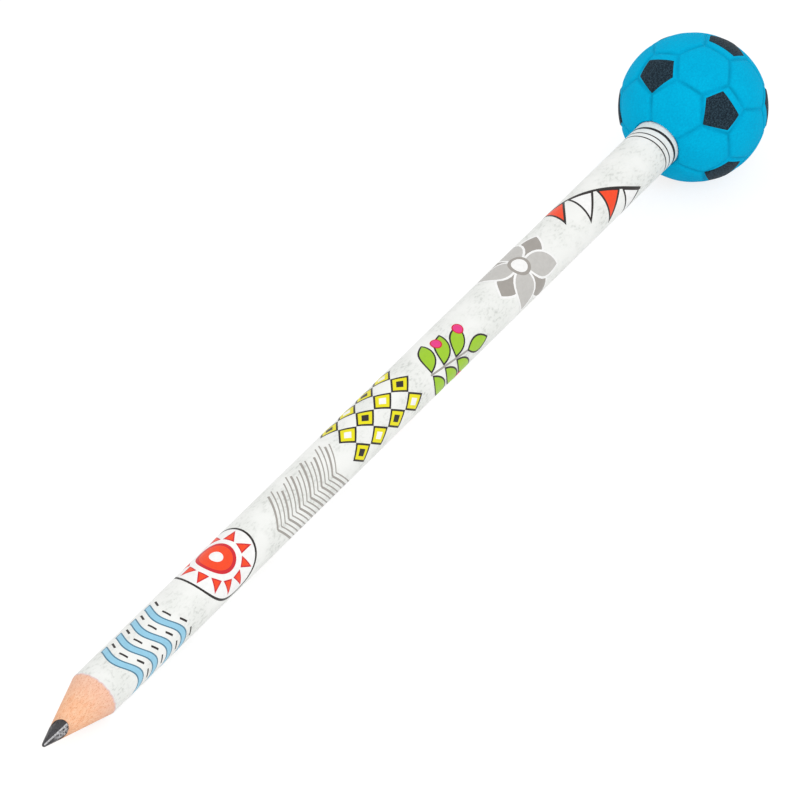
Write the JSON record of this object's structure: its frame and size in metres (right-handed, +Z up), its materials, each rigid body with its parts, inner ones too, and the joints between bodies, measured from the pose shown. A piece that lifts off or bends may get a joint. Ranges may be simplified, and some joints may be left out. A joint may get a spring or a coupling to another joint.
{
  "type": "pencil with football eraser topper",
  "caption": "Round wooden pencil in a printed white film, sharpened at one end, with a blue football-shaped rubber eraser topper with black patches pushed on the other.",
  "frame": {"origin": "on the table under the middle of the object's box, as it lies on the film's edge at the point and on the ball", "axes": "+X from the point to the ball, +Z up from the table, +Y to the left when looking along +X"},
  "size_m": [0.184, 0.0228, 0.0228],
  "materials": {
    "graphite": "dark grey fired graphite and clay with a waxy shine",
    "casing_wood": "bare, freshly cut, matt",
    "film": "satin white printed film",
    "blue_rubber": "matt moulded rubber",
    "black_rubber": "matt, finely grained"
  },
  "bodies": {
    "pencil": {"graphite_lead": "graphite", "wood_slat_upper": "casing_wood", "wood_slat_lower": "casing_wood", "printed_film": "film"},
    "topper": {"eraser_ball": "blue_rubber", "black_patch_01": "black_rubber", "black_patch_02": "black_rubber", "black_patch_03": "black_rubber", "black_patch_04": "black_rubber", "black_patch_05": "black_rubber", "black_patch_06": "black_rubber", "black_patch_07": "black_rubber", "black_patch_08": "black_rubber", "black_patch_09": "black_rubber", "black_patch_10": "black_rubber", "black_patch_11": "black_rubber"}
  },
  "joints": [
    {"name": "topper_slide", "type": "slide", "parent": "pencil", "child": "topper", "axis": [0.9989, 0, 0.0476], "range_m": [0, 0.018]}
  ]
}
